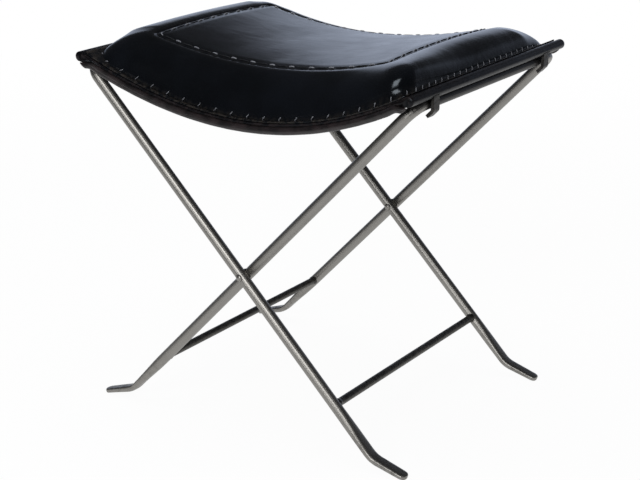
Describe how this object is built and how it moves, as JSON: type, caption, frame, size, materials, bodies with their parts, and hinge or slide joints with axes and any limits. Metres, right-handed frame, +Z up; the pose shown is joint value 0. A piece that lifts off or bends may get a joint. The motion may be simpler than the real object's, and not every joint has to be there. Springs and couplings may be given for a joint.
{
  "type": "x frame stool",
  "caption": "Folding X-frame stool: bent iron rod bows riveted at the crossings, splayed forged feet, and a sagging leather seat cushion hooked over the top rails.",
  "frame": {"origin": "on the floor, under the middle of the overall box", "axes": "+X across the folding width, from the rail of bow a to the rail of bow b; +Y along the rivet axis to the rear; +Z up from the floor"},
  "size_m": [0.482, 0.4054, 0.4917],
  "materials": {
    "iron": "raw drawn iron rod, lightly brushed and waxed",
    "dark_iron": "darkened forged iron",
    "base_leather": "brown black strap leather, semi matte with dull edges",
    "cover_leather": "black glazed leather with soft creases",
    "stuffing": "stuffing inside the cover, not seen"
  },
  "bodies": {
    "frame_a": {"bow_a": "iron", "stretcher_a": "iron", "rivet_front": "dark_iron", "rivet_rear": "dark_iron", "spacer_front": "dark_iron", "spacer_rear": "dark_iron"},
    "frame_b": {"bow_b": "iron", "stretcher_b": "iron"},
    "seat": {"end_rod_left": "dark_iron", "end_rod_right": "dark_iron", "hook_left_front": "dark_iron", "hook_left_rear": "dark_iron", "hook_right_front": "dark_iron", "hook_right_rear": "dark_iron", "seat_base": "base_leather", "hem_front": "base_leather", "hem_rear": "base_leather", "cushion_border": "cover_leather", "cushion_panel": "cover_leather", "foam_core": "stuffing"}
  },
  "joints": [
    {"name": "fold", "type": "hinge", "parent": "frame_a", "child": "frame_b", "pos_m": [0, 0, 0.21082], "axis": [0, -1, 0], "range_deg": [0, 84]},
    {"name": "seat_lift", "type": "hinge", "parent": "frame_a", "child": "seat", "pos_m": [-0.22885, 0, 0.4479], "axis": [0, -1, 0], "range_deg": [0, 84]}
  ],
  "couplings": [
    {"joint": "seat_lift", "follows": "fold", "ratio": 1}
  ]
}
